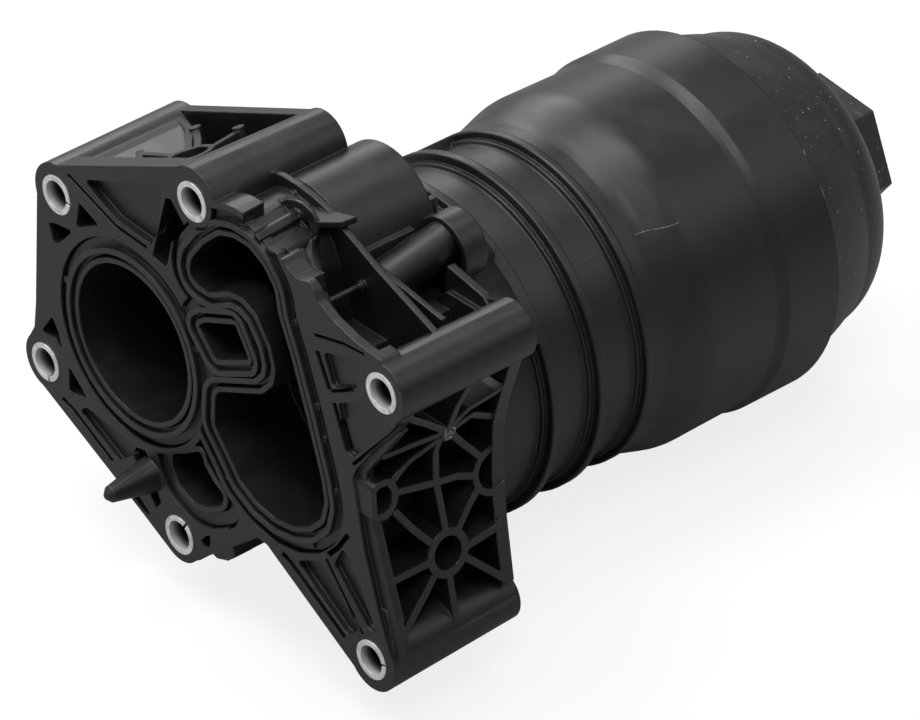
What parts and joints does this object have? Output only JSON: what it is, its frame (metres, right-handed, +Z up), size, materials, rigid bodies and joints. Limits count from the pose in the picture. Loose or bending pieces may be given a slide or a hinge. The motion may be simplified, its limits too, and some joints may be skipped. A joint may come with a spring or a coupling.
{
  "type": "engine oil filter housing",
  "caption": "Ribbed plastic oil filter housing with a ported gasket flange, collared bowl and hexagon screw cap.",
  "frame": {"origin": "on the plane of the mounting face, where the axis of the filter bowl meets it", "axes": "+X along the bowl axis from the mounting face towards the screw cap, +Z up as pictured, +Y towards the round port"},
  "size_m": [0.209, 0.1316, 0.1189],
  "materials": {
    "moulded_plastic": "satin, fine grained glass-filled moulding",
    "cap_plastic": "matte, dusty and lightly scratched",
    "inner_plastic": "satin",
    "gasket_rubber": "semi-matte",
    "sleeve_steel": "rolled strip",
    "spring_steel": "drawn wire",
    "filter_paper": "matte"
  },
  "bodies": {
    "housing_body": {"housing": "moulded_plastic", "bolt_sleeves": "sleeve_steel", "flange_gasket": "gasket_rubber", "standpipe": "inner_plastic", "pipe_ring": "gasket_rubber", "bypass_guide": "inner_plastic", "bypass_spring": "spring_steel", "check_cage": "inner_plastic", "check_spring": "spring_steel"},
    "element": {"filter_core": "inner_plastic", "filter_media": "filter_paper", "front_end_cap": "inner_plastic", "back_end_cap": "inner_plastic", "pipe_seal": "gasket_rubber", "drain_plug": "inner_plastic", "drain_ring": "gasket_rubber"},
    "cap": {"screw_cap": "cap_plastic", "cap_ring": "gasket_rubber"},
    "bypass_valve": {"bypass_disc": "inner_plastic"},
    "check_valve": {"check_disc": "inner_plastic", "check_seal": "gasket_rubber"}
  },
  "joints": [
    {"name": "element_lift", "type": "slide", "parent": "housing_body", "child": "element", "axis": [1, 0, 0], "range_m": [0, 0.012]},
    {"name": "cap_turn", "type": "hinge", "parent": "element", "child": "cap", "pos_m": [0.15, 0, 0], "axis": [1, 0, 0], "range_deg": [0, 1080]},
    {"name": "bypass_lift", "type": "slide", "parent": "housing_body", "child": "bypass_valve", "axis": [1, 0, 0], "range_m": [0, 0.0028], "stiffness_N_per_m": 300, "deforming": ["bypass_spring"]},
    {"name": "check_lift", "type": "slide", "parent": "housing_body", "child": "check_valve", "axis": [1, 0, 0], "range_m": [0, 0.003], "stiffness_N_per_m": 100, "deforming": ["check_spring"]}
  ],
  "couplings": [
    {"joint": "element_lift", "follows": "cap_turn", "m_per_rad": 0.00063662}
  ]
}
